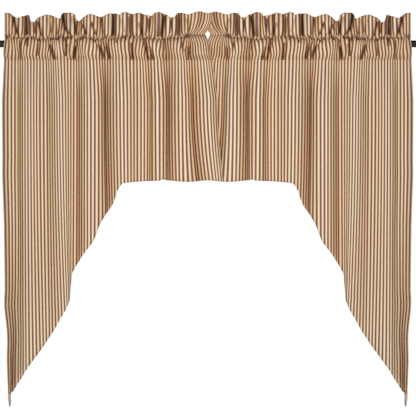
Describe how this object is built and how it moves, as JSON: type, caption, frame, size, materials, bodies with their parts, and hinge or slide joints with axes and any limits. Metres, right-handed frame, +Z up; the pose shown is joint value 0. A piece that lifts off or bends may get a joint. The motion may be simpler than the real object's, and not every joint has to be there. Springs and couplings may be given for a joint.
{
  "type": "swag and tail drape on a rod",
  "caption": "Pair of gathered striped cloth panels on a thin straight rod: ruffled header, rod pocket, short level swag over the middle and long pointed tails at the sides.",
  "frame": {"origin": "middle of the rod, on its axis, between the brackets that a wall or window frame would carry", "axes": "+X along the rod to the viewer's right, +Y back to the window, so the front faces -Y, +Z up"},
  "size_m": [1.01, 0.0545, 0.92],
  "materials": {
    "rod_finish": "satin black paint",
    "ticking": "plain weave cotton ticking, cream and plum brown stripes of equal width"
  },
  "bodies": {
    "root": {"rod": "rod_finish", "left_panel": "ticking", "right_panel": "ticking"}
  },
  "joints": []
}
